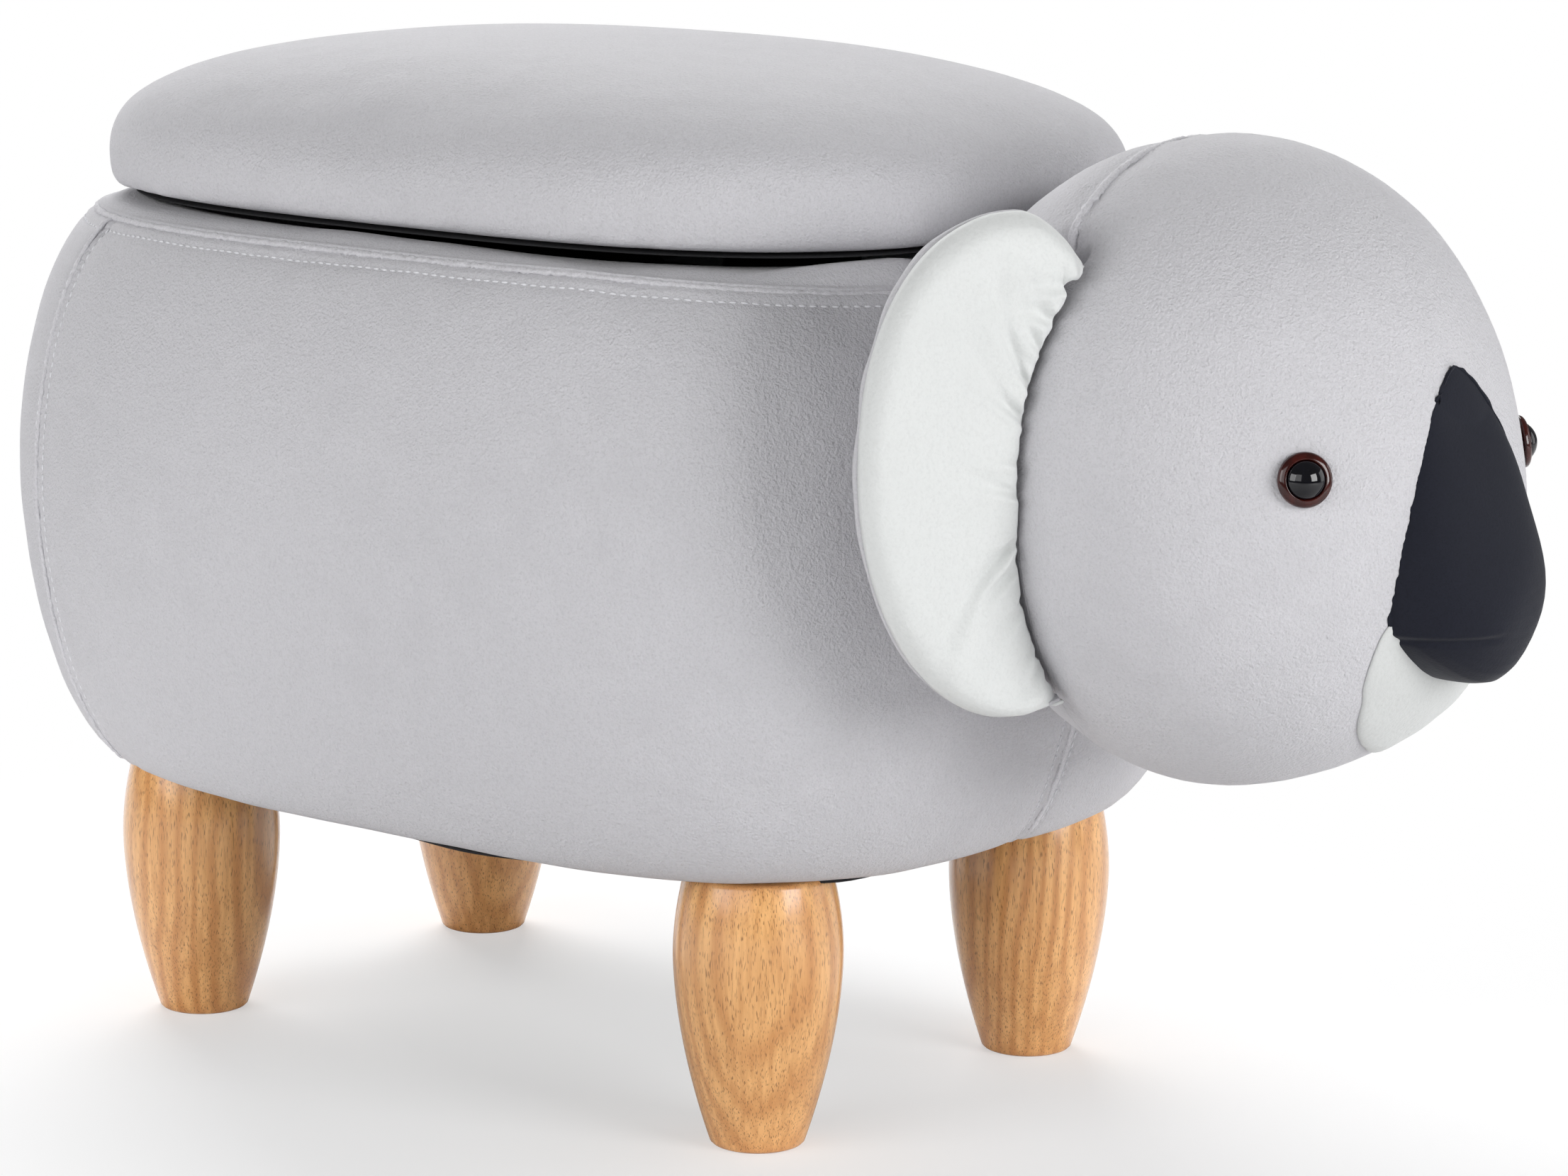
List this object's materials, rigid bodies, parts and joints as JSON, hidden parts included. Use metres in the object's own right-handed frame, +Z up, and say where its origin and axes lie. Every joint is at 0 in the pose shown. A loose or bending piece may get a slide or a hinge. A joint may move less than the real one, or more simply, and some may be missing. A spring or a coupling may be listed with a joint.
{
  "type": "animal footstool",
  "caption": "Koala-shaped storage footstool: padded oval body over a round wooden tub, hinged lift-up padded lid, stuffed head with ears and nose, turned wooden legs.",
  "frame": {"origin": "on the floor, under the middle of the whole stool's footprint, head included", "axes": "+X from the rear of the stool to the nose, +Y to the animal's left, where the hinges are, +Z up"},
  "size_m": [0.6124, 0.33, 0.3719],
  "materials": {
    "grey_velvet": "light grey short-pile velvet, soft sheen",
    "white_plush": "white short plush, matt",
    "black_cloth": "black non-woven cloth, matt",
    "nose_cloth": "blue-black smooth brushed cloth, matt",
    "fibre": "white polyester fibre filling",
    "padding_foam": "cream polyurethane foam",
    "rubberwood": "clear semi-gloss lacquer on light rubberwood",
    "plywood": "bare plywood",
    "zinc_steel": "bright zinc plate",
    "iris_brown": "glossy reddish brown",
    "pupil_black": "glossy black",
    "white_plastic": "natural white polypropylene"
  },
  "bodies": {
    "stool": {"leg_rear_right": "rubberwood", "hanger_bolt_rear_right": "zinc_steel", "tee_nut_rear_right": "zinc_steel", "leg_front_right": "rubberwood", "hanger_bolt_front_right": "zinc_steel", "tee_nut_front_right": "zinc_steel", "leg_front_left": "rubberwood", "hanger_bolt_front_left": "zinc_steel", "tee_nut_front_left": "zinc_steel", "leg_rear_left": "rubberwood", "hanger_bolt_rear_left": "zinc_steel", "tee_nut_rear_left": "zinc_steel", "base_board": "plywood", "dust_cover": "black_cloth", "tub_wall": "plywood", "tub_lining": "black_cloth", "side_panel_right": "grey_velvet", "side_panel_left": "grey_velvet", "rear_panel": "grey_velvet", "rim_band": "grey_velvet", "body_foam": "padding_foam", "rim_foam": "padding_foam", "hinge_body_leaf_rear": "zinc_steel", "hinge_pin_rear": "zinc_steel", "hinge_body_leaf_front": "zinc_steel", "hinge_pin_front": "zinc_steel", "body_screw_rear_a": "zinc_steel", "body_screw_rear_b": "zinc_steel", "body_screw_front_a": "zinc_steel", "body_screw_front_b": "zinc_steel", "face_panel": "grey_velvet", "muzzle_patch": "white_plush", "head_back_panel": "grey_velvet", "head_filling": "fibre", "head_board": "plywood", "head_bolt_right": "zinc_steel", "head_bolt_left": "zinc_steel", "eye_ring_right": "iris_brown", "eye_pupil_right": "pupil_black", "eye_washer_right": "white_plastic", "eye_ring_left": "iris_brown", "eye_pupil_left": "pupil_black", "eye_washer_left": "white_plastic", "ear_front_left": "white_plush", "ear_front_right": "white_plush", "ear_back_left": "grey_velvet", "ear_back_right": "grey_velvet", "nose": "nose_cloth"},
    "lid": {"lid_cover": "grey_velvet", "lid_foam": "padding_foam", "lid_board": "plywood", "lid_underside": "black_cloth", "hinge_lid_leaf_rear": "zinc_steel", "hinge_lid_leaf_front": "zinc_steel", "lid_screw_rear_a": "zinc_steel", "lid_screw_rear_b": "zinc_steel", "lid_screw_front_a": "zinc_steel", "lid_screw_front_b": "zinc_steel"}
  },
  "joints": [
    {"name": "lid_hinge", "type": "hinge", "parent": "stool", "child": "lid", "pos_m": [0, 0.1345, 0.3077], "axis": [-1, 0, 0], "range_deg": [0, 100]}
  ]
}
